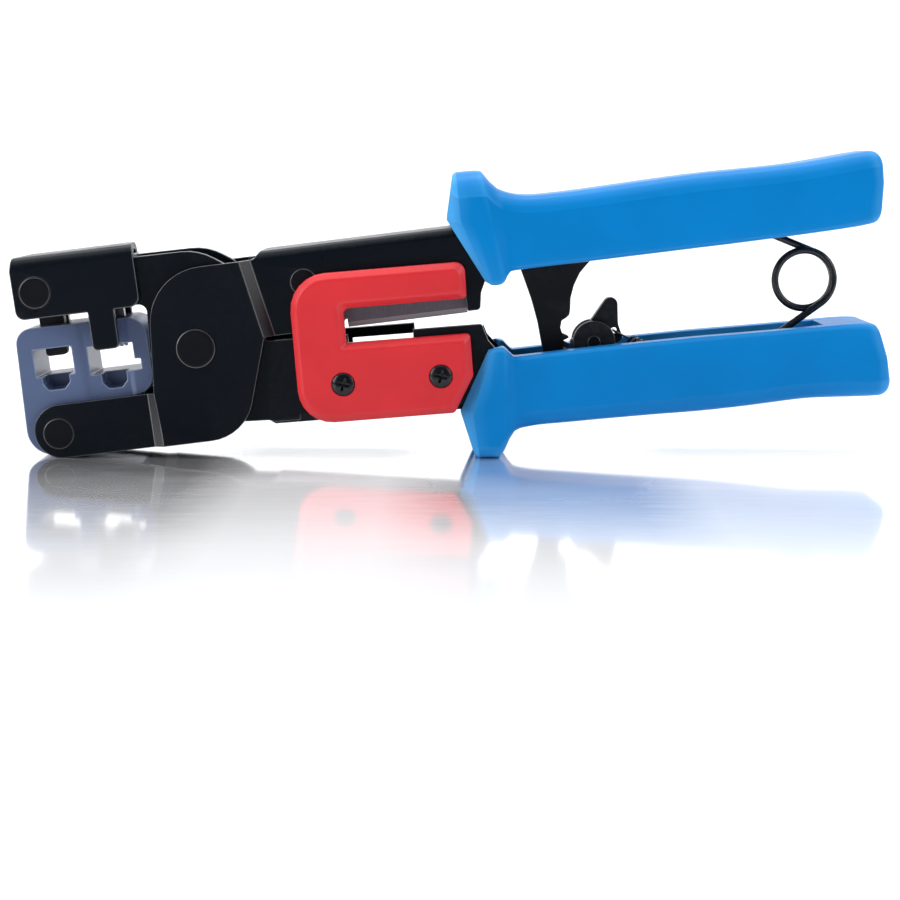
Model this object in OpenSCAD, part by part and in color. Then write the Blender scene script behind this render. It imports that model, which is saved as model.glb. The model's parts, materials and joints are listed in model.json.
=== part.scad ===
// Ratcheting crimping tool for RJ45 and RJ11 modular plugs, standing on its lower edge.
//
// Frame: +X runs from the jaws to the handle ends, +Y is away from the guard side, +Z is up.
// The origin is the middle of the tool's box in X and Y, at the height of the table.
// Each lever is drawn level about the main pivot and then tilted to its resting slope.

/* [Stance] */
// Slope of the upper lever above the table, degrees
upper_tilt = 7; // [6.5:0.1:7.2]
// Slope of the lower lever above the table, degrees
lower_tilt = 4.5; // [4.4:0.1:4.8]
// Distance along X from the main pivot to the middle of the tool
mid_x = 63.6; // [60:0.1:66]
// Distance along Y from the middle plane of the frame to the middle of the tool's box
mid_y = -1.2; // [-2:0.1:0]

/* [Sheet steel frame] */
// Thickness of the folded steel
sheet = 2; // [1.6:0.1:2]
// Half of the clear width between the inner plates
inner_half = 8.6; // [8.6:0.1:8.8]
// Running gap between plates that slide past each other
plate_gap = 0.15; // [0.1:0.01:0.2]
// Length of both channels, from the main pivot into the grips
channel_end = 158; // [150:1:160]

/* [Pins and rivets] */
// Radius of the main pivot rivet's shaft
pivot_r = 4; // [3:0.1:4]
// Radius of the main pivot rivet's heads
pivot_head_r = 4.85; // [4.5:0.05:5]
// Radius of the die pin and of the press head pin's ends
jaw_pin_r = 3.8; // [3.4:0.1:3.9]
// Radius of the press head pin's middle, which runs in the slotted jaw
head_pin_r = 2; // [1.6:0.1:2]
// Running clearance on radius
run_gap = 0.05; // [0.03:0.01:0.08]

/* [Jaws and die] */
// Distance of the jaw pins from the main pivot along the lever
jaw_pin_x = -37.4; // [-37.6:0.1:-37.2]
// Height of the press head pin above the main pivot
head_pin_z = 18.4; // [18.2:0.1:18.6]
// Height of the die pin below the main pivot
die_pin_z = -17.2; // [-17.4:0.1:-17]
// Half depth of the plastic die
die_half = 8.5; // [8:0.1:8.5]
// Width of the RJ45 plug cavity
rj45_w = 11.5; // [11.3:0.1:11.7]
// Width of the RJ11 plug cavity
rj11_w = 9.7; // [9.5:0.1:9.8]
// Contact spacing of a modular plug
contact_pitch = 1.02; // [1:0.01:1.04]
// Depth of the latch notches from the die's front face
latch_depth = 5.7; // [5:0.1:7]

/* [Motion] */
// Turn of the lower lever from rest to fully closed, degrees
close_turn = 2.5; // [2:0.1:2.5]
// Turn of the lower lever from rest to fully open, degrees
open_turn = 6; // [4:0.5:6]
// Travel of the press head for each radian that the levers turn
head_travel = 36.6; // [36:0.1:37]

/* [Ratchet] */
// Distance of the pawl pin from the main pivot
pawl_x = 98.9; // [98.7:0.1:99.1]
// Height of the pawl pin above the main pivot, in the lower lever
pawl_z = -7.1; // [-7.2:0.1:-7]
// Radius of the rack's tooth tips about the main pivot
rack_r = 92.9; // [92.5:0.1:93]
// Number of teeth on the rack
rack_teeth = 7; // [5:1:8]

/* [Grips] */
// Half width of the plastic grips
grip_half = 12; // [11.8:0.1:12.5]
// Radius that softens the palm side of the grips
palm_r = 5; // [4:0.5:7]
// Half width of the flanges at the front of the grips
flange_half = 13; // [12.5:0.1:13.5]
// Half width of the long slot that lets the channel be seen
slot_half = 7; // [6:0.1:7.5]

/* [Guard and blades] */
// Thickness of the red guard
guard_t = 4.1; // [3.8:0.1:4.5]
// Width of the sloped border around the guard
guard_border = 1.7; // [1:0.1:2]
// Thickness of the blades
blade_t = 1.1; // [0.8:0.1:1.1]

/* [Hidden] */
$fn = 64;

// Half length of a cut that goes right through
thru = 20;

// Depths of the plates from the middle plane
outer_half = inner_half + sheet;
cheek_in = outer_half + plate_gap;
cheek_out = cheek_in + sheet;
cap_in = outer_half + 0.2;
cap_out = cap_in + sheet;
guard_back = -outer_half - 0.3;
guard_front = guard_back - guard_t;

// Jaw tip of the upper lever, which stands on the table
tip_x = -36.6;
tip_z = -16.7;
tip_r = 6.75;
stand_z = tip_r - tip_x * sin(upper_tilt) - tip_z * cos(upper_tilt);

// Channels
top_fold = 21.7;
bottom_fold = -20.8;
upper_edge = 0.6;
lower_edge = 0.3;
tang_upper = 12.2;
tang_lower = -9.5;
fold_r = 2.6;

// Die and its two cavities, in the upper lever's frame
die_top = 9.6;
rj45_right = -16.2;
rj45_left = rj45_right - rj45_w;
rj45_top = 3.15;
rj45_floor = -3.8;
rj45_mid = (rj45_left + rj45_right) / 2;
rj11_right = -31.5;
rj11_left = rj11_right - rj11_w;
rj11_top = 4.1;
rj11_floor = -2.8;
rj11_mid = (rj11_left + rj11_right) / 2;
slot_clear = 0.1;

// Press head: the block that carries the punches
head_bottom = 12.1;
head_top = 27.4;
block_bottom = 12.6;
block_top = 24.6;
strain_bottom = 1.8;
strain_front = -3.5;
bar_t = 3;
comb_t = 2;
comb_back = 2.6;
comb_front = -5.1;

// Blades and their rivets as [x, z, radius], in the upper lever's frame
blade_x0 = 24;
blade_x1 = 68.6;
blade_edge = 0.3;
blade_rivet_spots = [[28.4, 12.9, 3.2], [58, 11, 2]];

// Guard screws, in the lower lever's frame
screw_spots = [[35.7, -11.5], [59.9, -11.4]];
screw_r = 1.5;
screw_head_r = 2.8;
screw_seat = guard_front + 1.3;

// Rack in the upper lever's frame, with its teeth along an arc about the main pivot
rack_t = 3;
rack_step = 1.12;
rack_first = -5.9;
tooth_depth = 1.5;
rack_rivet_r = 1.5;
rack_rivet_spots = [[86, 16.6], [96, 16.6]];

// Pawl, its bracket and its spring, in the lower lever's frame
pawl_reach = norm([pawl_x, pawl_z]) - rack_r - 0.3;
pawl_pin_r = 1.6;
eye = [5.35, 2.3];
eye_r = 0.85;
ear_in = rack_t / 2 + 0.1;
ear_out = ear_in + 2.1;
bracket_base = bottom_fold + sheet;
bracket_plate = 1.5;
bracket_rivet_r = 1.2;
bracket_rivet_x = [104.6, 110];
spring_anchor = [118, -13.3];
anchor_r = 1.2;
coil_r = 1;
coil_wire_r = 0.3;

// Spring ring between the handles, about the middle plane
ring_x = 152.2;
ring_z = 16.3;
ring_r = 7.3;
wire_r = 0.9;
ring_y = 0.95;
upper_leg_turn = 68;
lower_leg_turn = -54;
upper_leg = 16.5;
lower_leg = 15.5;

// ---- points and outlines ----

function unit(v) = v / norm(v);
function spin(p, a) = [p[0] * cos(a) - p[1] * sin(a), p[0] * sin(a) + p[1] * cos(a)];
function wrap(a) = a > 180 ? a - 360 : a < -180 ? a + 360 : a;
function ring_point(c, r, a) = [c[0] + r * cos(a), c[1] + r * sin(a)];
function arc(c, r, a0, a1, steps) = [for (i = [0:steps]) ring_point(c, r, a0 + (a1 - a0) * i / steps)];

// The points that round one corner b between a and c
function corner(a, b, c, r) =
    r <= 0 ? [b] :
    let (
        u = unit(a - b),
        v = unit(c - b),
        half = acos(u * v) / 2,
        m = b + unit(u + v) * r / sin(half),
        p = b + u * r / tan(half),
        q = b + v * r / tan(half),
        start = atan2(p[1] - m[1], p[0] - m[0]),
        sweep = wrap(atan2(q[1] - m[1], q[0] - m[0]) - start),
        steps = max(2, ceil(abs(sweep) / 9))
    )
    arc(m, r, start, start + sweep, steps);

// An outline of [x, z, corner radius] points
function rounded(pts) =
    let (n = len(pts))
    [for (i = [0:n - 1])
        let (a = pts[(i + n - 1) % n], b = pts[i], c = pts[(i + 1) % n])
        each corner([a[0], a[1]], [b[0], b[1]], [c[0], c[1]], b[2])];

// Height in the lower lever's frame of the table below a point at x
function table_z(x) = (-stand_z - x * sin(lower_tilt)) / cos(lower_tilt);

// Place of the press head pin in the lower lever's frame when the levers have turned by a
function head_pin_at(a) =
    spin([jaw_pin_x, head_pin_z - head_travel * a * PI / 180], upper_tilt - lower_tilt - a);

// ---- solids ----

// Stands the tool on the table with the origin under the middle of its box
module place() {
    translate([-mid_x, -mid_y, stand_z]) children();
}

module in_upper() {
    place() rotate([0, -upper_tilt, 0]) children();
}

module in_lower() {
    place() rotate([0, -lower_tilt, 0]) children();
}

// A flat outline in X and Z, thick from y0 to y1
module slab(y0, y1) {
    translate([0, y1, 0]) rotate([90, 0, 0]) linear_extrude(y1 - y0) children();
}

// The same outline on both sides of the middle plane
module twin_slab(y0, y1) {
    slab(y0, y1) children();
    slab(-y1, -y0) children();
}

module rod(x, z, r, y0, y1) {
    translate([x, y1, z]) rotate([90, 0, 0]) cylinder(r = r, h = y1 - y0);
}

// A bore from side to side
module bore(x, z, r) {
    rod(x, z, r, -thru, thru);
}

module block(x0, x1, y0, y1, z0, z1) {
    translate([x0, y0, z0]) cube([x1 - x0, y1 - y0, z1 - z0]);
}

// A cross-section in Y and Z, drawn from x0 to x1
module beam(x0, x1) {
    translate([x0, 0, 0]) rotate([90, 0, 90]) linear_extrude(x1 - x0) children();
}

// A cross-section in X and Y, drawn from z0 to z1
module post(z0, z1) {
    translate([0, 0, z0]) linear_extrude(z1 - z0) children();
}

// Direction of a path at its point i
function heading(path, i) = unit(path[min(i + 1, len(path) - 1)] - path[max(i - 1, 0)]);

// One sideways direction for each point of a path, carried along it without twisting
function sideways(path, i, from) =
    let (
        t = heading(path, i),
        side = unit(from - (from * t) * t)
    )
    i == len(path) - 1 ? [side] : concat([side], sideways(path, i + 1, side));

// A round wire swept along a path
module wire(path, r, sides) {
    across = sideways(path, 0, [0.6, 0.3, 0.7]);
    points = [for (i = [0:len(path) - 1], k = [0:sides - 1])
        let (a = 360 * k / sides, up = cross(heading(path, i), across[i]))
        path[i] + r * (cos(a) * across[i] + sin(a) * up)];
    walls = [for (i = [0:len(path) - 2], k = [0:sides - 1])
        let (a = i * sides + k, b = i * sides + (k + 1) % sides)
        [a, b, b + sides, a + sides]];
    first = [for (k = [0:sides - 1]) sides - 1 - k];
    last = [for (k = [0:sides - 1]) (len(path) - 1) * sides + k];
    polyhedron(points, concat([first], walls, [last]));
}

// The bent stretch of plate that steps from the inner plane to the cheek's plane over run
module joggle(run, z0, z1) {
    lap = 0.3;
    for (side = [-1, 1])
        post(z0, z1)
            polygon([
                [-lap, side * cheek_out], [0, side * cheek_out],
                [run, side * outer_half], [run + lap, side * outer_half],
                [run + lap, side * inner_half], [run, side * inner_half],
                [0, side * cheek_in], [-lap, side * cheek_in]
            ]);
}

// Folded section with its web on top
module fold_section(web_z, edge_z) {
    wall = sign(web_z - edge_z) * sheet;
    far = edge_z - wall * 4;
    difference() {
        polygon(rounded([
            [-outer_half, far, 0], [outer_half, far, 0],
            [outer_half, web_z, fold_r], [-outer_half, web_z, fold_r]
        ]));
        polygon(rounded([
            [-inner_half, far - wall, 0], [inner_half, far - wall, 0],
            [inner_half, web_z - wall, fold_r / 3], [-inner_half, web_z - wall, fold_r / 3]
        ]));
    }
}

module upper_channel_outline() {
    polygon(rounded([
        [19.7, upper_edge, 0], [36.3, upper_edge, 0.5], [36.3, 8.5, 0.5], [67.8, 8.5, 0.5],
        [67.8, upper_edge + 0.2, 0.4], [71, upper_edge + 0.2, 1], [71.7, 5, 2], [73.4, 8.5, 2],
        [75.5, tang_upper, 1], [channel_end, tang_upper, 0.5], [channel_end, top_fold, 0],
        [18.6, top_fold, 0.8], [16.9, 20, 0.8], [16, 19.9, 0]
    ]));
}

// Upper handle channel, outer pivot cheeks and lower jaw, folded from one sheet
module upper_frame() {
    color("#12161d") in_upper() difference() {
        union() {
            intersection() {
                slab(-outer_half, outer_half) upper_channel_outline();
                beam(15, channel_end) fold_section(top_fold, upper_edge);
            }
            intersection() {
                translate([17, 0, 0.4]) rotate([0, -10.6, 0]) joggle(2.65, -2, 22);
                block(10, 22, -cheek_out, cheek_out, upper_edge, 19.9);
            }
            twin_slab(cheek_in, cheek_out)
                polygon(rounded([
                    [-11.2, -23.4, 0], [9.3, -23.4, 12], [17.05, 0.4, 1], [13.4, 19.9, 0],
                    [-9.2, 19.9, 14], [-12, -9.95, 0]
                ]));
            translate([-11.4, 0, 0]) mirror([1, 0, 0]) joggle(2.5, -23.4, -9.95);
            twin_slab(inner_half, outer_half)
                polygon(concat(
                    [[-14, tip_z - tip_r], [-14, tip_z + tip_r]],
                    arc([tip_x, tip_z], tip_r, 90, 270, 24)
                ));
        }
        bore(0, 0, pivot_r);
        bore(jaw_pin_x, die_pin_z, jaw_pin_r);
        for (p = blade_rivet_spots) bore(p[0], p[1], p[2]);
        for (p = rack_rivet_spots) bore(p[0], p[1], rack_rivet_r);
    }
}

// Lower handle channel, inner pivot plates and upper jaw, folded from one sheet
module lower_frame() {
    notch_x0 = 37.6;
    notch_x1 = 53.8;
    color("#12161d") in_lower() difference() {
        union() {
            twin_slab(inner_half, outer_half)
                polygon(rounded([
                    [-43.6, 11.2, 2], [-11.4, 11.8, 2], [-11.8, 0, 3], [-10.5, -8, 5],
                    [2, -19.2, 6], [16.2, -19.5, 0.8], [17.8, -20, 0], [24, -20, 0],
                    [24, lower_edge, 0], [17, lower_edge, 1.5], [13.2, 12, 4], [9.6, 19.6, 2],
                    [2.6, 24.1, 14], [-11, 23.6, 0], [-43.6, 22.6, 5]
                ]));
            intersection() {
                slab(-outer_half, outer_half)
                    polygon(rounded([
                        [16.4, -19.6, 0.5], [17.6, bottom_fold, 0.8], [channel_end, bottom_fold, 0],
                        [channel_end, tang_lower, 0.5], [77, tang_lower, 2], [73.6, -5.6, 1.5],
                        [72.3, -3.9, 1], [71, lower_edge, 0.8], [17, lower_edge, 0]
                    ]));
                beam(16, channel_end) fold_section(bottom_fold, lower_edge);
            }
        }
        // Notch that clears the cable on the guard side
        block(notch_x0, notch_x1, -thru, -inner_half + 1, -6.2, 5);
        // Window below the far strip, and the lower edge beyond it
        block(notch_x0, notch_x1, inner_half - 1, thru, -5.9, -2.3);
        block(notch_x1, 71.5, inner_half - 1, thru, -2, 5);
        // Slot in the web for the end of the rack
        block(83, 97, -3, 3, bottom_fold - 1, bottom_fold + sheet + 1);
        bore(0, 0, pivot_r + run_gap);
        head_pin_slot();
        for (p = screw_spots) rod(p[0], p[1], screw_r, -thru, 0);
        bore(spring_anchor[0], spring_anchor[1], anchor_r + 0.05);
        for (x = bracket_rivet_x)
            translate([x, 0, bottom_fold - 1]) cylinder(r = bracket_rivet_r, h = sheet + 2);
    }
}

// Slot that lets the press head travel straight while the jaw swings
module head_pin_slot() {
    a = head_pin_at(close_turn);
    b = head_pin_at(-open_turn);
    r = head_pin_r + 0.15;
    bore(a[0], a[1], r);
    bore(b[0], b[1], r);
    slab(-thru, thru)
        polygon([
            a + [0, -r], a + [0, r], b + [0, r], b + [0, -r]
        ]);
}

module main_pivot_rivet() {
    head = 0.55;
    color("#171b22") in_upper() {
        rod(0, 0, pivot_r, -cheek_out, cheek_out);
        for (side = [0, 1])
            mirror([0, side, 0]) translate([0, -cheek_out, 0]) rotate([90, 0, 0])
                rotate_extrude()
                    polygon(rounded([
                        [0, 0, 0], [pivot_head_r, 0, 0], [pivot_head_r, head, 0.4], [0, head, 0]
                    ]));
    }
}

module pivot_spacer() {
    color("#8d9299") in_upper() difference() {
        rod(0, 0, 6.2, -inner_half, inner_half);
        bore(0, 0, pivot_r + run_gap);
    }
}

// ---- die ----

module cavity_rj45() {
    polygon([
        [rj45_left, rj45_top], [rj45_right, rj45_top], [rj45_right, -1], [rj45_right + 1.5, -1.1],
        [rj45_right + 1.5, rj45_floor + 0.1], [rj45_right, rj45_floor], [rj45_left, rj45_floor]
    ]);
}

module cavity_rj11() {
    polygon([
        [rj11_left, rj11_top], [rj11_right, rj11_top],
        [rj11_right, rj11_floor], [rj11_left, rj11_floor]
    ]);
}

// Blind notches in the front face for the plugs' latches
module latch_notches() {
    slab(-thru, latch_depth - die_half) {
        polygon([
            [rj45_mid + 3.1, rj45_floor + 1], [rj45_mid + 3.1, -6.1], [rj45_mid + 1.6, -7.7],
            [rj45_mid - 1.6, -7.7], [rj45_mid - 3.1, -6.1], [rj45_mid - 3.1, rj45_floor + 1]
        ]);
        polygon([
            [rj11_mid + 3.3, rj11_floor + 1], [rj11_mid + 3.3, -4.7], [rj11_mid + 1.8, -6.3],
            [rj11_mid - 2.2, -6.3], [rj11_mid - 3.4, -4.6], [rj11_mid - 3.4, rj11_floor + 1]
        ]);
    }
}

module die_block() {
    color("#56688f") in_upper() difference() {
        slab(-die_half, die_half)
            polygon(rounded([
                [-46, -22.6, 6.5], [-18.4, -22.6, 1], [-17.8, -10, 0], [-12.25, -9.6, 4.6],
                [-12.25, 9.4, 4.8], [-44.9, die_top + 0.1, 4]
            ]));
        slab(-thru, thru) cavity_rj45();
        slab(-thru, thru) cavity_rj11();
        latch_notches();
        // Slots for the punches
        punch_slot(rj11_mid, 6.2, comb_back, comb_back + comb_t, rj11_top);
        punch_slot(rj11_mid, 6.2, strain_front, strain_front + bar_t, rj11_top);
        punch_slot(rj45_mid, 8.6, comb_front, comb_front + comb_t, rj45_top);
        punch_slot(rj45_mid, 5.2, 1, 1 + bar_t, rj45_top);
        // Shallow channel in the front face behind the guide tab
        post(-12, die_top + 2)
            polygon([
                [-29.8, -die_half - 1], [-29.8, -die_half], [-28.8, -die_half + 0.6],
                [-18, -die_half + 0.6], [-17, -die_half], [-17, -die_half - 1]
            ]);
        bore(jaw_pin_x, die_pin_z, jaw_pin_r);
    }
}

module punch_slot(x, w, y0, y1, bottom) {
    block(x - w / 2 - slot_clear, x + w / 2 + slot_clear, y0 - slot_clear, y1 + slot_clear,
          bottom - 1, die_top + 2);
}

// A pin through both walls with slightly raised, softened ends
module jaw_pin(x, z, half) {
    raise = 0.3;
    for (side = [0, 1])
        mirror([0, side, 0]) translate([x, 0, z]) rotate([90, 0, 0])
            rotate_extrude()
                polygon(rounded([
                    [0, half - 2, 0], [jaw_pin_r, half - 2, 0],
                    [jaw_pin_r, half + raise, 0.25], [0, half + raise, 0]
                ]));
}

module die_pin() {
    color("#171b22") in_upper() {
        jaw_pin(jaw_pin_x, die_pin_z, outer_half);
        rod(jaw_pin_x, die_pin_z, jaw_pin_r, -outer_half, outer_half);
    }
}

// ---- press head ----

module press_head() {
    tab_x0 = -25.2;
    tab_x1 = -18.7;
    web_end = -15.1;
    color("#12161d") in_upper() difference() {
        union() {
            intersection() {
                slab(-cap_out, cap_out)
                    polygon(rounded([
                        [-42.9, head_bottom, 2.2], [-12.1, head_bottom, 2.5],
                        [-12.1, head_top, 0.5], [-42.3, head_top, 0.5], [-42.9, 24, 2]
                    ]));
                beam(-50, 0) difference() {
                    polygon(rounded([
                        [-cap_out, 0, 0], [cap_out, 0, 0], [cap_out, head_top, 3],
                        [-cap_out, head_top, 3]
                    ]));
                    polygon(rounded([
                        [-cap_in, -1, 0], [cap_in, -1, 0], [cap_in, head_top - 1.8, 1.2],
                        [-cap_in, head_top - 1.8, 1.2]
                    ]));
                }
            }
            twin_slab(cap_in, cap_out)
                polygon(rounded([
                    [tab_x0, 2.5, 1.2], [tab_x1, 2.5, 1.2], [tab_x1, 14, 0], [tab_x0, 14, 0]
                ]));
        }
        // The web stops short of the front wall's right edge
        block(web_end, -11, -cap_in + 1, thru, head_top - 5, head_top + 1);
        bore(jaw_pin_x, head_pin_z, jaw_pin_r);
    }
}

module press_head_pin() {
    color("#171b22") in_upper() {
        jaw_pin(jaw_pin_x, head_pin_z, cap_out);
        rod(jaw_pin_x, head_pin_z, head_pin_r, -cap_out, cap_out);
    }
}

module punch_block() {
    half = inner_half - 0.3;
    color("#6b7078") in_upper() difference() {
        block(-41.6, -14, -half, half, block_bottom, block_top);
        bore(jaw_pin_x, head_pin_z, head_pin_r);
        socket(rj11_mid, 6.2, comb_back, comb_back + comb_t);
        socket(rj11_mid, 6.2, strain_front, strain_front + bar_t);
        socket(rj45_mid, 8.6, comb_front, comb_front + comb_t);
        socket(rj45_mid, 5.2, 1, 1 + bar_t);
    }
}

// Socket in the punch block, 2.5 mm deep
module socket(x, w, y0, y1) {
    block(x - w / 2, x + w / 2, y0, y1, block_bottom - 1, block_bottom + 2.5);
}

// A comb of separate teeth, one for each contact of the plug
module contact_punch(x, ways, w, y0, tooth_bottom) {
    tooth = 0.5;
    difference() {
        block(x - w / 2, x + w / 2, y0, y0 + comb_t, tooth_bottom, block_bottom + 2.5);
        for (i = [0:ways]) {
            gap_x = x + (i - ways / 2) * contact_pitch;
            half = (contact_pitch - tooth) / 2;
            x0 = i == 0 ? x - w / 2 - 1 : gap_x - half;
            x1 = i == ways ? x + w / 2 + 1 : gap_x + half;
            block(x0, x1, y0 - 1, y0 + comb_t + 1, tooth_bottom - 1, tooth_bottom + 3);
        }
    }
}

module strain_bar(x, w, tongue_w, y0) {
    block(x - w / 2, x + w / 2, y0, y0 + bar_t, 7, block_bottom + 2.5);
    slab(y0, y0 + bar_t)
        polygon(rounded([
            [x - tongue_w / 2, strain_bottom, 0.9], [x + tongue_w / 2, strain_bottom, 0.9],
            [x + tongue_w / 2, 7.5, 0], [x - tongue_w / 2, 7.5, 0]
        ]));
}

module rj11_contact_punch() {
    color("#2b2f36") in_upper() contact_punch(rj11_mid, 6, 6.2, comb_back, 2.9);
}

module rj11_strain_bar() {
    color("#1c1f25") in_upper() strain_bar(rj11_mid, 6.2, 5.3, strain_front);
}

module rj45_contact_punch() {
    color("#2b2f36") in_upper() contact_punch(rj45_mid, 8, 8.6, comb_front, 2.2);
}

module rj45_strain_bar() {
    color("#1c1f25") in_upper() strain_bar(rj45_mid, 5.2, 4.6, 1);
}

// ---- ratchet ----

// Teeth as pairs of points around the main pivot
function rack_edge() =
    [for (i = [0:rack_teeth - 1])
        let (a = rack_first - i * rack_step)
        each [
            ring_point([0, 0], rack_r, a + 0.12),
            ring_point([0, 0], rack_r, a - 0.12),
            ring_point([0, 0], rack_r - tooth_depth, a - rack_step / 2)
        ]];

// The rack's plate: neck, closed-end notch, teeth and open-end notch
module rack_plate() {
    last = rack_first - rack_teeth * rack_step;
    color("#15181e") in_upper() difference() {
        slab(-rack_t / 2, rack_t / 2)
            polygon(concat(
                [[82, 19.4], [82.4, 8.6], [84.1, 1.1], [85, -4.8], [85.5, -12.2], [85.7, -21.4]],
                arc([86.7, -21.4], 1, 180, 270, 3),
                [[88.4, -22.4]],
                [ring_point([0, 0], rack_r - 2.4, last - 0.5)],
                [ring_point([0, 0], rack_r - 2.4, last + 0.35)],
                [for (i = [len(rack_edge()) - 1:-1:0]) rack_edge()[i]],
                [[90.9, -8.4], [90.6, -6.9], [91.1, -5.2]],
                [[92.4, -4.6], [93.2, -4], [93.6, -2.6], [94, 0.2], [95.2, 3.3]],
                [[97, 6.2], [99.9, 8.9], [101, 19.4]]
            ));
        for (p = rack_rivet_spots) bore(p[0], p[1], rack_rivet_r);
    }
}

module rack_rivets() {
    color("#3a3d42") in_upper()
        for (p = rack_rivet_spots) rod(p[0], p[1], rack_rivet_r, -outer_half, outer_half);
}

module rack_spacers() {
    color("#8d9299") in_upper()
        for (p = rack_rivet_spots, side = [0, 1])
            mirror([0, side, 0]) difference() {
                rod(p[0], p[1], 2.2, rack_t / 2, inner_half);
                bore(p[0], p[1], rack_rivet_r);
            }
}

module in_pawl() {
    in_lower() translate([pawl_x, 0, pawl_z]) children();
}

// The pawl: hub, tooth towards the rack, thumb lever and spring eye
module pawl() {
    hub_r = 4.5;
    tooth_turn = 180 - asin(-pawl_z / norm([pawl_x, pawl_z]));
    color("#15181e") in_pawl() difference() {
        union() {
            rod(0, 0, hub_r, -rack_t / 2, rack_t / 2);
            slab(-rack_t / 2, rack_t / 2)
                polygon([
                    ring_point([0, 0], 4.3, tooth_turn + 24), ring_point([0, 0], 4.3, tooth_turn - 24),
                    ring_point([0, 0], pawl_reach, tooth_turn - 2),
                    ring_point([0, 0], pawl_reach, tooth_turn + 2)
                ]);
            slab(-rack_t / 2, rack_t / 2)
                polygon(rounded([
                    [-2.4, 3.2, 0], [3.6, -2.6, 0], [7.5, 0.3, 1.2], [6.5, 4, 3],
                    [6.8, 11, 1.7], [3.9, 10.6, 1.7], [-1.2, 4.3, 0]
                ]));
        }
        bore(0, 0, pawl_pin_r + run_gap);
        bore(eye[0], eye[1], eye_r);
    }
}

module pawl_pin() {
    color("#24272d") in_pawl() {
        rod(0, 0, pawl_pin_r, -ear_out - 0.15, ear_out + 0.15);
    }
}

// Bracket riveted inside the channel, with two round ears that carry the pawl pin
module pawl_bracket() {
    ear_r = 5.35;
    x0 = 97.6;
    x1 = 112.5;
    color("#15181e") in_lower() difference() {
        union() {
            twin_slab(ear_in, ear_out) {
                translate([pawl_x, pawl_z]) circle(r = ear_r);
                polygon([
                    [x0, bracket_base], [x1, bracket_base], [x1, bracket_base + 2],
                    [pawl_x + ear_r, pawl_z - 0.5], [pawl_x - ear_r, pawl_z - 0.5],
                    [x0, bracket_base + 5]
                ]);
            }
            block(100.5, x1, -ear_out, ear_out, bracket_base, bracket_base + bracket_plate);
        }
        bore(pawl_x, pawl_z, pawl_pin_r);
        for (x = bracket_rivet_x)
            translate([x, 0, bracket_base - 1]) cylinder(r = bracket_rivet_r, h = 5);
    }
}

module bracket_rivets() {
    shank = sheet + bracket_plate;
    color("#3a3d42") in_lower()
        for (x = bracket_rivet_x)
            translate([x, 0, bottom_fold]) {
                cylinder(r = bracket_rivet_r, h = shank);
                translate([0, 0, shank]) cylinder(r = 1.5, h = 0.8);
            }
}

// Centre line of the tension spring from the pawl's eye: hook, coil, then a hook round the anchor
function tension_path(reach) =
    let (
        coil_x = 4.4,
        turns = 7,
        pitch = 1.2,
        steps = 12,
        hook_r = anchor_r + coil_wire_r + 0.05
    )
    concat(
        [[0, 2.3, 0], [0, 0, 0], [0, -1.8, 0], [0.25, -2.35, 0], [0.9, -2.4, 0], [3.2, -1.4, 0]],
        [for (i = [0:turns * steps])
            let (a = 360 * i / steps)
            [coil_x + pitch * i / steps, -coil_r * cos(a), -coil_r * sin(a)]],
        [[coil_x + turns * pitch + 0.9, -coil_r, 0.2]],
        [for (a = [120:-30:-60])
            [reach + hook_r * cos(a), 0, hook_r * sin(a)]]
    );

// Small coil that pulls the pawl back to the middle
module tension_spring() {
    from = [pawl_x, pawl_z] + eye;
    span = spring_anchor - from;
    color("#2a2c30") in_lower()
        translate([from[0], 0, from[1]]) rotate([0, -atan2(span[1], span[0]), 0])
            wire(tension_path(norm(span)), coil_wire_r, 8);
}

// Pin across the channel that holds the far end of the tension spring
module spring_post() {
    color("#3a3d42") in_lower()
        rod(spring_anchor[0], spring_anchor[1], anchor_r, -outer_half, outer_half);
}

// ---- handle spring ----

// Centre line of the handle spring: leg, one and a third turns, leg; [x, y, z] points
function spring_path() =
    let (
        sweep = lower_leg_turn - 360 - upper_leg_turn,
        steps = 44,
        rise = [-sin(upper_leg_turn), cos(upper_leg_turn)],
        fall = [sin(lower_leg_turn), -cos(lower_leg_turn)],
        top = ring_point([ring_x, ring_z], ring_r, upper_leg_turn),
        low = ring_point([ring_x, ring_z], ring_r, lower_leg_turn)
    )
    concat(
        [for (d = [upper_leg, upper_leg / 2])
            [top[0] + rise[0] * d, ring_y, top[1] + rise[1] * d]],
        [for (i = [0:steps])
            let (p = ring_point([ring_x, ring_z], ring_r, upper_leg_turn + sweep * i / steps))
            [p[0], ring_y * (1 - 2 * i / steps), p[1]]],
        [for (d = [lower_leg / 2, lower_leg])
            [low[0] + fall[0] * d, -ring_y, low[1] + fall[1] * d]]
    );

module torsion_spring() {
    color("#1a1d20") place() wire(spring_path(), wire_r, 12);
}

// ---- grips ----

// Rounded cross-section of a grip, from the slotted face at slot_z to the palm at palm_z
module grip_section(slot_z, palm_z) {
    polygon(rounded([
        [-grip_half, slot_z, 2.5], [grip_half, slot_z, 2.5],
        [grip_half, palm_z, palm_r], [-grip_half, palm_z, palm_r]
    ]));
}

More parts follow.
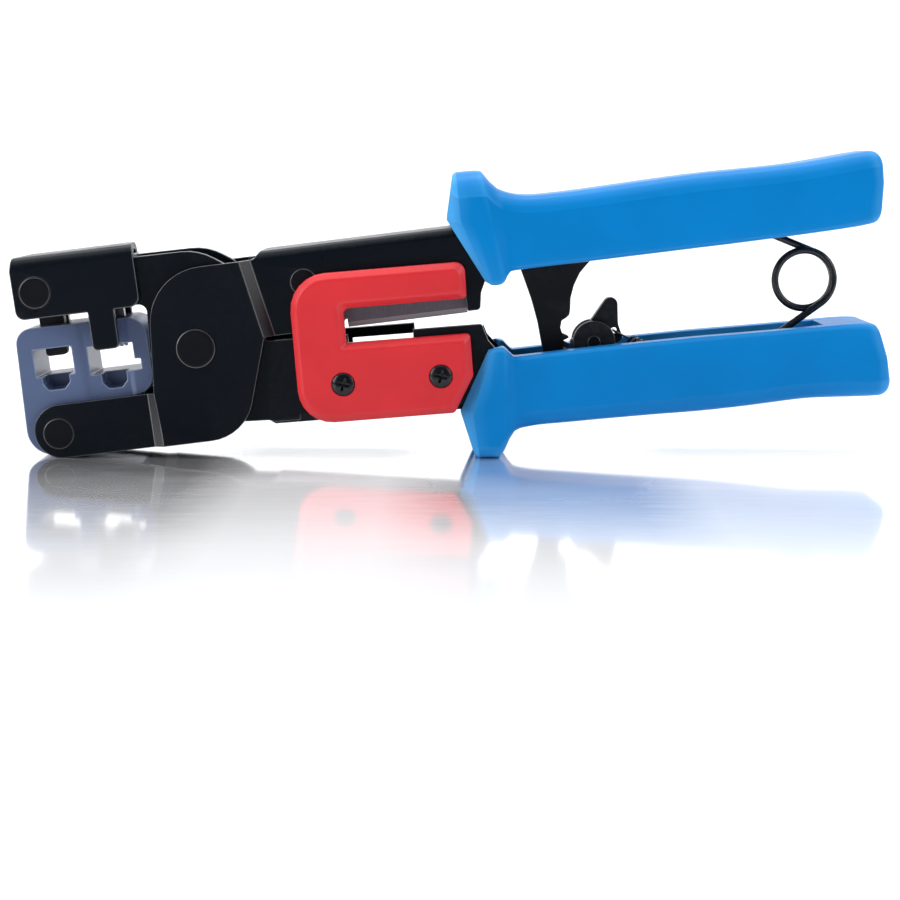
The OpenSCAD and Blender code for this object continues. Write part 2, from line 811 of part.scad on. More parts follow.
module upper_grip() {
    color("#0082cd") in_upper() difference() {
        union() {
            intersection() {
                slab(-grip_half, grip_half)
                    polygon(rounded([
                        [76, 9.4, 0], [165, 9.4, 0], [171.9, 10.2, 2.5], [173, 28, 3.5],
                        [160, 27.2, 10], [148, 26.8, 30], [125, 27.5, 60], [98, 26.9, 60],
                        [76, 27, 0]
                    ]));
                beam(70, 180) grip_section(9.3, 28.1);
            }
            slab(-flange_half, flange_half)
                polygon(rounded([
                    [65.3, 23.8, 1.2], [73.2, 6.4, 2.2], [78, 6.3, 2.2], [79, 9.4, 0],
                    [79.5, 27, 0], [82, 27, 0], [78.2, 29.6, 2], [75.6, 34.5, 2], [68.3, 35.2, 3]
                ]));
        }
        block(60, channel_end, -outer_half, outer_half, tang_upper, top_fold);
        block(60, 76, -outer_half, outer_half, 0, top_fold);
        block(75, 156, -slot_half, slot_half, 0, tang_upper + 1);
    }
}

module lower_grip() {
    foot_x0 = 67;
    foot_x1 = 73;
    color("#007fc8") in_lower() difference() {
        union() {
            intersection() {
                slab(-grip_half, grip_half)
                    polygon(rounded([
                        [76, -26.7, 0], [88, -26.3, 30], [123, -26.1, 60], [149, -24.9, 30],
                        [168, -26, 3], [171.8, -21.5, 3], [170.1, -8, 4], [164, -6.6, 3],
                        [110, -7.4, 60], [90, -7.9, 60], [76, -8.4, 0]
                    ]));
                beam(70, 180) grip_section(-6.5, -26.8);
            }
            slab(-flange_half, flange_half)
                polygon(rounded([
                    [foot_x0, table_z(foot_x0), 0.6], [foot_x1, table_z(foot_x1), 1.2],
                    [75.6, -29.4, 3], [77.4, -27.2, 3], [80.6, -26.4, 0], [78.8, -24, 0],
                    [78.8, -8.4, 0], [77.2, -8.3, 0.8], [75, -5.6, 1.8], [72.4, -5.6, 1],
                    [63.9, -21.2, 2]
                ]));
        }
        block(60, channel_end, -outer_half, outer_half, bottom_fold, tang_lower);
        block(60, 78, -outer_half, outer_half, bottom_fold, 5);
        block(75, 156, -slot_half, slot_half, tang_lower - 1, 5);
        block(82, 98, -3.2, 3.2, bottom_fold - 3, bottom_fold + 1);
    }
}

// ---- blades ----

// One blade with a ground bevel along its lower edge; side is -1 at the guard, 1 at the back
module blade(side) {
    outer = inner_half - 0.1;
    difference() {
        mirror([0, side < 0 ? 1 : 0, 0]) difference() {
            beam(blade_x0, blade_x1)
                polygon([
                    [outer - blade_t, blade_edge + 0.05], [outer - blade_t + 0.15, blade_edge],
                    [outer, blade_edge + 1.3], [outer, 17], [outer - blade_t, 17]
                ]);
            block(blade_x0 - 1, 40, 0, thru, -2, 2.4);
        }
        for (p = blade_rivet_spots) bore(p[0], p[1], p[2]);
    }
}

module cutter_blade() {
    color("#6a6670") in_upper() blade(-1);
}

module stripper_blade() {
    color("#6a6670") in_upper() blade(1);
}

module blade_carrier() {
    half = inner_half - 0.1 - blade_t;
    color("#1f2227") in_upper() difference() {
        block(24, 66, -half, half, 6, 17);
        for (p = blade_rivet_spots) bore(p[0], p[1], p[2]);
    }
}

module blade_rivets() {
    color("#171b22") in_upper()
        for (p = blade_rivet_spots)
            rod(p[0], p[1], p[2], -outer_half - 0.1, outer_half + 0.1);
}

// ---- guard ----

module guard_outline(d) {
    polygon(rounded([
        [24.2 + d, -21 + d, 8.5 - d], [62.6 - d / 2, -20.95 + d, 1],
        [67.9 - d, -12 + d / 3, 1], [67.9 - d, -1.55 - d, 1],
        [37.2 - d, -1.55 - d, 0.5], [37.2 - d, 7 + d, 2], [67.7 - d, 7.2 + d, 1],
        [67.9 - d, 16.2 - d, 2.5 - d], [24.2 + d, 16 - d, 9 - d]
    ]));
}

module blade_guard() {
    color("#d93a40") in_lower() difference() {
        union() {
            slab(guard_front + 1.5, guard_back) guard_outline(0);
            slab(guard_front, guard_front + 1.6) guard_outline(guard_border);
            for (p = screw_spots) rod(p[0], p[1], 4.2, guard_back - 0.5, -outer_half);
        }
        for (p = screw_spots) {
            rod(p[0], p[1], screw_r, -thru, 0);
            rod(p[0], p[1], screw_head_r + 0.1, -thru, screw_seat);
        }
    }
}

// Cross-head machine screws
module guard_screws() {
    dome = 5.2;
    cross_half = 1.6;
    cross_t = 0.6;
    color("#17181b") in_lower()
        for (p = screw_spots) difference() {
            union() {
                rod(p[0], p[1], screw_r, screw_seat, -5.2);
                intersection() {
                    rod(p[0], p[1], screw_head_r, screw_seat - 2.2, screw_seat);
                    translate([p[0], screw_seat - 2 + dome, p[1]]) sphere(r = dome);
                }
            }
            for (a = [20, 110])
                translate([p[0], screw_seat - 3, p[1]]) rotate([0, a, 0])
                    translate([-cross_half, 0, -cross_t / 2])
                        cube([2 * cross_half, 2.1, cross_t]);
        }
}

module guard_nuts() {
    half = 2.75;
    color("#8d9299") in_lower()
        for (p = screw_spots) difference() {
            block(p[0] - half, p[0] + half, -inner_half, -inner_half + 2.4, p[1] - half, p[1] + half);
            rod(p[0], p[1], screw_r, -thru, 0);
        }
}

upper_frame();
lower_frame();
main_pivot_rivet();
pivot_spacer();
die_block();
die_pin();
press_head();
press_head_pin();
punch_block();
rj11_contact_punch();
rj11_strain_bar();
rj45_contact_punch();
rj45_strain_bar();
rack_plate();
rack_rivets();
rack_spacers();
pawl();
pawl_pin();
pawl_bracket();
bracket_rivets();
tension_spring();
spring_post();
torsion_spring();
upper_grip();
lower_grip();
cutter_blade();
stripper_blade();
blade_carrier();
blade_rivets();
blade_guard();
guard_screws();
guard_nuts();
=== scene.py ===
"""Looks of a ratcheting crimping tool for modular plugs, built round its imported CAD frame."""

import json
import math

import bmesh
import bpy
from mathutils import Matrix, Vector


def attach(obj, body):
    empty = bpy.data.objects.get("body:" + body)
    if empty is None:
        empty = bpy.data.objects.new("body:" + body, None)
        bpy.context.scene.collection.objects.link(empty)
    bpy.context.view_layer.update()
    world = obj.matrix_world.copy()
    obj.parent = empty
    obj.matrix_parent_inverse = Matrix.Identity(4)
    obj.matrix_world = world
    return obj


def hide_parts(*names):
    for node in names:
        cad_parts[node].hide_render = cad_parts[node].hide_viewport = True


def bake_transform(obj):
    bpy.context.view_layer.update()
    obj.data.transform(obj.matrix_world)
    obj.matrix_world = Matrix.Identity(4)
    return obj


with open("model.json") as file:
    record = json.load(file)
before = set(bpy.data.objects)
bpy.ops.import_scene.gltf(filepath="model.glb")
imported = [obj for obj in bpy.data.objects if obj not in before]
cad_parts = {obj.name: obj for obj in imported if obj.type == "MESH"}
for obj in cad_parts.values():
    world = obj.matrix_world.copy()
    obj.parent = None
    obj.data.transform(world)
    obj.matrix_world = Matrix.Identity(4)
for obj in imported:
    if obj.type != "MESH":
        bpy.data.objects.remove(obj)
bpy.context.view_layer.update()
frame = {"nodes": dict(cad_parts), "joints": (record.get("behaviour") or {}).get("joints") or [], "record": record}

MM = 0.001
JOINTS = {joint["name"]: joint for joint in frame["joints"]}
PIVOT = Vector(JOINTS["handle_hinge"]["pos_m"])
SLIDE = JOINTS["press_slide_travel"]["axis"]
UPPER_SLOPE = math.atan2(SLIDE[0], -SLIDE[2])
LOWER_SLOPE = math.radians(4.5)


def lever(slope):
    """From millimetres along a lever, about the main pivot, to the row frame."""
    return Matrix.Translation(PIVOT) @ Matrix.Rotation(-slope, 4, "Y") @ Matrix.Scale(MM, 4)


UPPER = lever(UPPER_SLOPE)
LOWER = lever(LOWER_SLOPE)
LEVEL = lever(0)


# ---- materials ----

class Finish:
    """A procedural material: a principled shader and the nodes that vary it."""

    def __init__(self, name, colour, roughness, metallic=0.0, specular=0.5):
        self.material = bpy.data.materials.new(name)
        self.material.use_nodes = True
        self.tree = self.material.node_tree
        self.shader = self.tree.nodes["Principled BSDF"]
        self.shader.inputs["Base Color"].default_value = (*colour, 1)
        self.shader.inputs["Roughness"].default_value = roughness
        self.shader.inputs["Metallic"].default_value = metallic
        self.shader.inputs["Specular IOR Level"].default_value = specular
        self.place = self.tree.nodes.new("ShaderNodeTexCoord").outputs["Object"]

    def node(self, kind, **values):
        """A new node with the given settings."""
        made = self.tree.nodes.new(kind)
        for name, value in values.items():
            setattr(made, name, value)
        return made

    def link(self, source, target):
        """Feeds an output into an input."""
        self.tree.links.new(source, target)

    def noise(self, size_mm, detail=3.0, rough=0.5, stretch=(1, 1, 1)):
        """Noise whose features are about size_mm across, drawn out along the axes by stretch."""
        mapping = self.node("ShaderNodeMapping")
        mapping.inputs["Scale"].default_value = [1 / s for s in stretch]
        self.link(self.place, mapping.inputs["Vector"])
        noise = self.node("ShaderNodeTexNoise")
        noise.inputs["Scale"].default_value = 1 / (size_mm * MM)
        noise.inputs["Detail"].default_value = detail
        noise.inputs["Roughness"].default_value = rough
        self.link(mapping.outputs["Vector"], noise.inputs["Vector"])
        return noise.outputs["Fac"]

    def remap(self, source, low, high, start=0.3, end=0.7):
        """source, from start to end, as a value from low to high."""
        ranged = self.node("ShaderNodeMapRange")
        ranged.inputs["From Min"].default_value = start
        ranged.inputs["From Max"].default_value = end
        ranged.inputs["To Min"].default_value = low
        ranged.inputs["To Max"].default_value = high
        self.link(source, ranged.inputs["Value"])
        return ranged.outputs["Result"]

    def axis(self, name):
        """Where a point lies along the object's own X, Y or Z."""
        parts = self.node("ShaderNodeSeparateXYZ")
        self.link(self.place, parts.inputs["Vector"])
        return parts.outputs[name]

    def product(self, first, second):
        """Two values multiplied, between 0 and 1."""
        made = self.node("ShaderNodeMath", operation="MULTIPLY", use_clamp=True)
        self.link(first, made.inputs[0])
        self.link(second, made.inputs[1])
        return made.outputs["Value"]

    def smaller(self, first, second):
        """The smaller of two values."""
        made = self.node("ShaderNodeMath", operation="MINIMUM")
        self.link(first, made.inputs[0])
        self.link(second, made.inputs[1])
        return made.outputs["Value"]

    def distance(self, source, spot):
        """How far a value is from a number."""
        away = self.node("ShaderNodeMath", operation="SUBTRACT")
        self.link(source, away.inputs[0])
        away.inputs[1].default_value = spot
        size = self.node("ShaderNodeMath", operation="ABSOLUTE")
        self.link(away.outputs["Value"], size.inputs[0])
        return size.outputs["Value"]

    def vary_roughness(self, source, low, high):
        """The roughness runs from low to high as source rises."""
        self.link(self.remap(source, low, high, 0.1, 0.9), self.shader.inputs["Roughness"])

    def vary_colour(self, source, low, high, start=0.3, end=0.7):
        """The colour runs from low to high, each a colour, as source rises."""
        mix = self.node("ShaderNodeMix", data_type="RGBA")
        self.link(self.remap(source, 0, 1, start, end), mix.inputs["Factor"])
        mix.inputs["A"].default_value = (*low, 1)
        mix.inputs["B"].default_value = (*high, 1)
        self.link(mix.outputs["Result"], self.shader.inputs["Base Color"])

    def bump(self, source, height_mm):
        """Relief that is height_mm deep where source is 1."""
        bump = self.node("ShaderNodeBump")
        bump.inputs["Strength"].default_value = 1
        bump.inputs["Distance"].default_value = height_mm * MM
        self.link(source, bump.inputs["Height"])
        self.link(bump.outputs["Normal"], self.shader.inputs["Normal"])

    def edge_wear_and_sheen(self, base, edge_colour, amount):
        """Convex edges show a lighter colour, broken up by a fine noise: wear, and on the edge materials also a
        painted highlight.
        """
        pointed = self.node("ShaderNodeNewGeometry").outputs["Pointiness"]
        edge = self.remap(pointed, 0, amount, 0.52, 0.62)
        broken = self.product(edge, self.remap(self.noise(1.5), 0.2, 1))
        self.vary_colour(broken, base, edge_colour, 0, 1)

    def paint_edge_highlights(self, colour):
        """Paints a highlight: convex edges run softly from the colour so far to this one."""
        under = self.shader.inputs["Base Color"].links[0].from_socket
        mix = self.node("ShaderNodeMix", data_type="RGBA")
        pointed = self.node("ShaderNodeNewGeometry").outputs["Pointiness"]
        self.link(self.remap(pointed, 0, 1, 0.51, 0.57), mix.inputs["Factor"])
        self.link(under, mix.inputs["A"])
        mix.inputs["B"].default_value = (*colour, 1)
        self.link(mix.outputs["Result"], self.shader.inputs["Base Color"])


def scaled(colour, share):
    """A colour made darker or lighter."""
    return tuple(c * share for c in colour)


def stoved(made, roughness):
    """Gives an enamel its drift in gloss and its faint orange peel."""
    made.vary_roughness(made.noise(9), roughness - 0.05, roughness + 0.05)
    made.bump(made.noise(1.1, 2), 0.003)
    return made.material


def enamel(name, base, wear_and_sheen, specular, roughness):
    """Black stoving enamel over pressed steel."""
    made = Finish(name, base, roughness, 0, specular)
    made.edge_wear_and_sheen(base, wear_and_sheen, 0.6)
    return stoved(made, roughness)


# Height at which the painted light on a bend is darkest, and the distances from there over which it lightens
BEND_MIDDLE = 28 * MM
BEND_DARK = 6 * MM
BEND_LIGHT = 26 * MM


def bend_enamel_painted_light(name, dark, light, specular, roughness):
    """Enamel on a bend with painted light, its colour lighter only towards the tool's top and bottom."""
    made = Finish(name, dark, roughness, 0, specular)
    away = made.distance(made.axis("Z"), BEND_MIDDLE)
    made.vary_colour(away, dark, light, BEND_DARK, BEND_LIGHT)
    return stoved(made, roughness)


def black_steel(name, roughness, specular=0.25, wear_and_sheen=(0.12, 0.12, 0.13)):
    """Black oxide on small steel parts, with turned or rolled marks."""
    base = (0.004, 0.005, 0.008)
    made = Finish(name, base, roughness, 0, specular)
    made.edge_wear_and_sheen(base, wear_and_sheen, 0.8)
    made.vary_roughness(made.noise(2.5), roughness - 0.08, roughness + 0.1)
    made.bump(made.noise(0.35, 4), 0.01)
    return made.material


def bright_steel(name, colour, roughness, grain=(8, 1, 1), metallic=1.0):
    """Ground or plated steel with a brushed grain."""
    made = Finish(name, colour, roughness, metallic)
    made.vary_colour(made.noise(0.25, 3, 0.6, grain), scaled(colour, 0.8), scaled(colour, 1.15))
    made.vary_roughness(made.noise(0.3, 3, 0.6, grain), roughness - 0.07, roughness + 0.1)
    made.bump(made.noise(0.2, 2, 0.6, grain), 0.004)
    return made.material


def moulded(name, colour, roughness, grain_mm, grain_height_mm, specular=0.25, edge=None):
    """Moulded plastic with a fine spark-eroded grain and slight colour drift.

    edge is the colour of the highlight painted on its convex edges, if they show one.
    """
    made = Finish(name, colour, roughness, 0, specular)
    made.vary_colour(made.noise(16, 2), scaled(colour, 0.95), scaled(colour, 1.05))
    if edge:
        made.paint_edge_highlights(edge)
    made.vary_roughness(made.noise(3.5, 4), roughness - 0.05, roughness + 0.06)
    made.bump(made.noise(grain_mm, 3, 0.6), grain_height_mm)
    return made.material


# Where the jaw's tip and the grip's foot stand on the floor, along X in metres
JAW_CONTACT = -0.083
FOOT_CONTACT = 0.02
# Share of mirror in the floor for each angle of view, from 0 straight on to 1 at grazing
MIRROR_SHARES = {
    0.7: 0.03, 0.73: 0.07, 0.747: 0.13, 0.765: 0.255, 0.778: 0.48,
    0.785: 0.6, 0.792: 0.69, 0.803: 0.8, 0.811: 0.865, 0.83: 0.94,
}


def studio_floor():
    """Pale scuffed board that mirrors the tool at a low angle, most of all where the tool stands."""
    made = Finish("studio_floor", (0.93, 0.935, 0.95), 0.08)
    mirror = made.node("ShaderNodeValToRGB")
    made.link(made.node("ShaderNodeLayerWeight").outputs["Facing"], mirror.inputs["Fac"])
    stops = mirror.color_ramp.elements
    stops[0].position, stops[1].position = min(MIRROR_SHARES), max(MIRROR_SHARES)
    for angle in list(MIRROR_SHARES)[1:-1]:
        stops.new(angle)
    for stop, share in zip(stops, MIRROR_SHARES.values()):
        stop.color = (share, share, share, 1)
    away = made.node("ShaderNodeVectorMath", operation="LENGTH")
    made.link(made.place, away.inputs[0])
    near = made.remap(away.outputs["Value"], 1, 0, 0.16, 0.4)
    scuffs = made.remap(made.noise(4, 7, 0.8, (6, 1, 1)), 1.06, 0.94, 0.42, 0.58)
    across = made.axis("X")
    reach = made.smaller(made.distance(across, JAW_CONTACT), made.distance(across, FOOT_CONTACT))
    polish = made.remap(reach, 1, 0.48, 0.02, 0.036)
    share = made.product(made.product(mirror.outputs["Color"], near), made.product(scuffs, polish))
    made.link(share, made.shader.inputs["Metallic"])
    made.vary_roughness(made.noise(1.5, 4, 0.6, (14, 1, 1)), 0.05, 0.12)
    made.bump(made.noise(0.8, 3, 0.6, (25, 1, 1)), 0.0015)
    return made.material


MATERIALS = {
    "frame_black": enamel("frame_black", (0.002, 0.0045, 0.0085), (0.03, 0.034, 0.04), 0.16, 0.3),
    # Painted highlight: a lighter enamel for the frames' bevelled edges
    "frame_edge_highlight": enamel("frame_edge_highlight", (0.045, 0.048, 0.054), (0.13, 0.135, 0.145), 0.9, 0.22),
    # Painted light: a lighter enamel for the frames' bends, graded by height
    "frame_bend_painted_light": bend_enamel_painted_light("frame_bend_painted_light", (0.004, 0.006, 0.01), (0.05, 0.052, 0.055), 0.2, 0.34),
    "rivet_black": black_steel("rivet_black", 0.34, 0.15, (0.008, 0.009, 0.012)),
    # The rivets' edges: worn lighter and glossier, partly a painted highlight
    "rivet_edge_wear_and_highlight": black_steel("rivet_edge_wear_and_highlight", 0.3, 1.0, (0.2, 0.2, 0.21)),
    "punch_black": black_steel("punch_black", 0.4),
    "ratchet_black": black_steel("ratchet_black", 0.42, 0.2),
    "spring_wire": black_steel("spring_wire", 0.26, 0.5),
    "screw_black": black_steel("screw_black", 0.2, 0.4, (0.008, 0.008, 0.01)),
    "zinc_steel": bright_steel("zinc_steel", (0.55, 0.56, 0.58), 0.34),
    "tool_steel": bright_steel("tool_steel", (0.3, 0.31, 0.33), 0.3),
    "blade_steel": bright_steel("blade_steel", (0.135, 0.12, 0.15), 0.42, (1, 1, 10), 0.35),
    # The blades' ground bevel: lighter steel, partly a painted reflection
    "blade_bevel": bright_steel("blade_bevel", (0.42, 0.41, 0.44), 0.45, (1, 1, 6), 0.3),
    "die_plastic": moulded("die_plastic", (0.092, 0.130, 0.246), 0.3, 0.5, 0.004, 0.4),
    # Painted highlight: a lighter blue for the die's bevelled edges
    "die_edge_highlight": moulded("die_edge_highlight", (0.19, 0.25, 0.38), 0.3, 0.5, 0.004, 0.8),
    # The last colour is a highlight painted on the grip's convex edges
    "grip_blue": moulded("grip_blue", (0.0, 0.212, 0.59), 0.34, 0.45, 0.005, 0.12, (0.06, 0.37, 0.8)),
    "carrier_black": moulded("carrier_black", (0.015, 0.016, 0.02), 0.5, 0.5, 0.01),
    "guard_red": moulded("guard_red", (0.69, 0.032, 0.04), 0.3, 0.5, 0.004, 0.3),
}
# Lighter materials painted on bevelled edges as highlights, by finish
EDGE_OF = {"frame_black": "frame_edge_highlight", "ratchet_black": "frame_edge_highlight", "rivet_black": "rivet_edge_wear_and_highlight",
           "die_plastic": "die_edge_highlight"}
SLOT_OF = {row["node"]: row["material_slot"] for row in frame["record"]["subparts"]}
BODY_OF = {
    node: body
    for body, nodes in frame["record"]["behaviour"]["bodies"].items()
    for node in nodes
}


# ---- mesh tools ----

def finish_mesh(mesh, node, smooth_angle=35):
    """Puts a finished mesh in the scene in place of a CAD node, on the same body."""
    obj = bpy.data.objects.new(node + "_look", mesh)
    bpy.context.scene.collection.objects.link(obj)
    if not mesh.materials:
        mesh.materials.append(MATERIALS[SLOT_OF[node]])
    mesh.shade_smooth()
    mesh.set_sharp_from_angle(angle=math.radians(smooth_angle))
    flat = obj.modifiers.new("Flat faces", "WEIGHTED_NORMAL")
    flat.keep_sharp = True
    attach(obj, BODY_OF[node])
    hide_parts(node)
    return obj


def baked(mesh, *modifiers):
    """The mesh after modifiers, each (type, settings), as new data."""
    holder = bpy.data.objects.new("holder", mesh)
    bpy.context.scene.collection.objects.link(holder)
    for kind, settings in modifiers:
        modifier = holder.modifiers.new(kind.title(), kind)
        for key, value in settings.items():
            setattr(modifier, key, value)
    evaluated = holder.evaluated_get(bpy.context.evaluated_depsgraph_get())
    made = bpy.data.meshes.new_from_object(evaluated)
    bpy.data.objects.remove(holder)
    return made


def cleaned(node):
    """A copy of a CAD node's mesh with its flat faces joined up and its shortest edges closed."""
    bm = bmesh.new()
    bm.from_mesh(frame["nodes"][node].data)
    bmesh.ops.remove_doubles(bm, verts=bm.verts, dist=0.004 * MM)
    bmesh.ops.dissolve_degenerate(bm, edges=bm.edges, dist=0.002 * MM)
    bmesh.ops.dissolve_limit(bm, angle_limit=math.radians(0.8), verts=bm.verts, edges=bm.edges)
    bmesh.ops.remove_doubles(bm, verts=bm.verts, dist=0.1 * MM)
    bmesh.ops.dissolve_degenerate(bm, edges=bm.edges, dist=0.002 * MM)
    mesh = bpy.data.meshes.new(node)
    bm.to_mesh(mesh)
    bm.free()
    mesh.materials.clear()
    return mesh


def untangle(mesh):
    """Closes the slivers that fold back over their own face where bevels meet in a tight corner."""
    bm = bmesh.new()
    bm.from_mesh(mesh)
    bmesh.ops.remove_doubles(bm, verts=bm.verts, dist=0.002 * MM)
    bm.normal_update()
    facing = bm.faces.layers.float_vector.new("facing")
    for face in bm.faces:
        face[facing] = face.normal
    bmesh.ops.triangulate(bm, faces=bm.faces, quad_method="BEAUTY", ngon_method="BEAUTY")
    for _ in range(12):
        bm.normal_update()
        folded = [face for face in bm.faces if face.normal.dot(face[facing]) < 0]
        if not folded:
            break
        short = {min(face.edges, key=lambda edge: edge.calc_length()) for face in folded}
        bmesh.ops.collapse(bm, edges=sorted(short, key=lambda edge: edge.index))
        bmesh.ops.dissolve_degenerate(bm, edges=bm.edges, dist=0.001 * MM)
    bm.faces.layers.float_vector.remove(facing)
    bm.to_mesh(mesh)
    bm.free()


def softened(node, width_mm=0.25, segments=3):
    """The CAD node with every sharp edge broken by a small radius, which takes the slot's edge material: where
    EDGE_OF lists one, a lighter colour painted on as a highlight.
    """
    slot = SLOT_OF[node]
    mesh = cleaned(node)
    mesh.materials.append(MATERIALS[slot])
    mesh.materials.append(MATERIALS[EDGE_OF.get(slot, slot)])
    bevel = {
        "width": width_mm * MM,
        "segments": segments,
        "limit_method": "ANGLE",
        "angle_limit": math.radians(32),
        "use_clamp_overlap": False,
        # The bevel's faces take the edge material, a painted highlight
        "material": 1,
        "miter_outer": "MITER_ARC",
        "harden_normals": False,
    }
    mesh = baked(mesh, ("BEVEL", bevel))
    mesh.name = node + "_look"
    untangle(mesh)
    return finish_mesh(mesh, node)


def paint_light_on_bends(obj, matrix):
    """Gives the bent bands of a pressed frame, which lean towards the jaws, a lighter material as a painted
    highlight.
    """
    obj.data.materials.append(MATERIALS["frame_bend_painted_light"])
    index = len(obj.data.materials) - 1
    turn = matrix.to_3x3().normalized().inverted()
    for face in obj.data.polygons:
        normal = turn @ face.normal
        if face.material_index == 0 and abs(normal.y) > 0.5 and 0.4 < abs(normal.x) < 0.85:
            face.material_index = index


def rounded(points, steps=5):
    """Outline of (x, z, corner radius) points, with steps + 1 points at every corner."""
    outline = []
    for i, (x, z, radius) in enumerate(points):
        here = Vector((x, z))
        back = (Vector(points[i - 1][:2]) - here).normalized()
        ahead = (Vector(points[(i + 1) % len(points)][:2]) - here).normalized()
        radius = max(radius, 0.02)
        half = back.angle(ahead) / 2
        centre = here + (back + ahead).normalized() * (radius / math.sin(half))
        first = here + back * (radius / math.tan(half)) - centre
        last = here + ahead * (radius / math.tan(half)) - centre
        start = math.atan2(first.y, first.x)
        sweep = (math.atan2(last.y, last.x) - start + math.pi) % (2 * math.pi) - math.pi
        for k in range(steps + 1):
            angle = start + sweep * k / steps
            outline.append(centre + Vector((math.cos(angle), math.sin(angle))) * radius)
    return outline


def loft(rings, matrix):
    """A closed mesh through rings of 3-D points, all with the same count."""
    bm = bmesh.new()
    rows = [[bm.verts.new(matrix @ Vector(p)) for p in ring] for ring in rings]
    count = len(rows[0])
    for a, b in zip(rows, rows[1:]):
        for k in range(count):
            m = (k + 1) % count
            bm.faces.new((a[k], a[m], b[m], b[k]))
    bm.faces.new(list(reversed(rows[0])))
    bm.faces.new(rows[-1])
    bmesh.ops.remove_doubles(bm, verts=bm.verts, dist=0.003 * MM)
    bmesh.ops.recalc_face_normals(bm, faces=bm.faces)
    mesh = bpy.data.meshes.new("loft")
    bm.to_mesh(mesh)
    bm.free()
    return mesh


def tube(path, radius, sides, matrix):
    """A round wire along a path of points, with softened ends."""
    points = [Vector(p) for p in path]
    rings = []
    side = Vector((0.6, 0.3, 0.7))
    for i, point in enumerate(points):
        along = (points[min(i + 1, len(points) - 1)] - points[max(i - 1, 0)]).normalized()
        side = (side - side.dot(along) * along).normalized()
        other = along.cross(side)
        ends = [(0.0, 1.0)]
        if i == 0:
            ends = [(-0.3, 0.55), (-0.22, 0.85), (0.0, 1.0)]
        if i == len(points) - 1:
            ends = [(0.0, 1.0), (0.22, 0.85), (0.3, 0.55)]
        for shift, share in ends:
            rings.append([
                point + along * shift * radius
                + side * math.cos(2 * math.pi * k / sides) * radius * share
                + other * math.sin(2 * math.pi * k / sides) * radius * share
                for k in range(sides)
            ])
    return loft(rings, matrix)


def lathe(bm, profile, x, z, matrix):
    """Turns (y, radius) points about the line through x and z, from side to side."""
    sides = 48
    rows = []
    for y, radius in profile:
        rows.append([
            bm.verts.new(matrix @ Vector((
                x + radius * math.cos(2 * math.pi * k / sides),
                y,
                z + radius * math.sin(2 * math.pi * k / sides),
            )))
            for k in range(sides)
        ])
    for a, b in zip(rows, rows[1:]):
        for k in range(sides):
            m = (k + 1) % sides
            bm.faces.new((a[k], a[m], b[m], b[k]))
    bm.faces.new(list(reversed(rows[0])))
    bm.faces.new(rows[-1])


def lathed(name, matrix, spots):
    """A mesh of solids turned across the tool. Each spot is x, z and its (y, radius) profile."""
    bm = bmesh.new()
    for x, z, profile in spots:
        lathe(bm, profile, x, z, matrix)
    bmesh.ops.recalc_face_normals(bm, faces=bm.faces)
    mesh = bpy.data.meshes.new(name)
    bm.to_mesh(mesh)
    bm.free()
    return mesh


# ---- grips ----

def grip_ring(key, cavity):
    """One section of a grip.

    key holds the rim, middle and palm points, half the width, the palm's radius, the rim's
    radius and the angle of the crease where the side meets the palm.
    """
    rim_x, rim_z, mid_x, mid_z, palm_x, palm_z, half, palm_r, rim_r, crease = key
    up = 1 if palm_z > rim_z else -1
    slot, tang, web, wall = cavity
    rim_r = min(rim_r, (half - slot) * 0.6)
    lip_r = min(0.4, (half - slot) * 0.3)

    def arc(cy, cz, radius, start, end, steps):
        return [
            (cy + radius * math.cos(math.radians(start + (end - start) * k / steps)),
             cz + up * radius * math.sin(math.radians(start + (end - start) * k / steps)))
            for k in range(steps + 1)
        ]

    palm_cy = -half + palm_r * math.cos(math.radians(crease))
    palm = arc(palm_cy, palm_z - up * palm_r, palm_r, 180 - crease, 90, 9)
    near = [(-wall, web), (-wall, tang), (-slot, tang)]
    near += arc(-slot - lip_r, rim_z + up * lip_r, lip_r, 0, -90, 3)
    near += arc(-half + rim_r, rim_z + up * rim_r, rim_r, 270, 180, 5)
    near += [(-half, mid_z - up * 0.8), (-half, mid_z), (-half, mid_z + up * 0.8)]
    near += [(-half, palm[0][1] - up * 0.25)] + palm
    section = near + [(-y, z) for y, z in reversed(near)]

    def x_at(z):
        low, high = (rim_z, rim_x), (mid_z, mid_x)
        if (z - mid_z) * up > 0:
            low, high = (mid_z, mid_x), (palm_z, palm_x)
        share = (z - low[0]) / (high[0] - low[0])
        return low[1] + (high[1] - low[1]) * share

    return [(x_at(z), y, z) for y, z in section]


def between(keys, steps):
    """Smooth rows between rows of numbers, each span cut into steps."""
    rows = []
    for i in range(len(keys) - 1):
        before, a, b, after = keys[max(i - 1, 0)], keys[i], keys[i + 1], keys[min(i + 2, len(keys) - 1)]
        for k in range(steps):
            t = k / steps
            rows.append(tuple(
                0.5 * (2 * q + (r - p) * t + (2 * p - 5 * q + 4 * r - s) * t * t
                       + (3 * q - p - 3 * r + s) * t ** 3)
                for p, q, r, s in zip(before, a, b, after)
            ))
    return rows + [keys[-1]]


# Half the width of a grip's body, the angle of its crease and the rounding of its end
BODY_HALF = 12.0
BODY_CREASE = 10
END_RADIUS = 3.0
# Half the width of the channel that holds the frame, and how far ahead of the body its mouth ends
CHANNEL_HALF = 10.65
MOUTH_GAP = 3.5
# Half the width of the slot that faces the other grip, and the slot's end
SLOT_HALF = 7
SLOT_END = 156


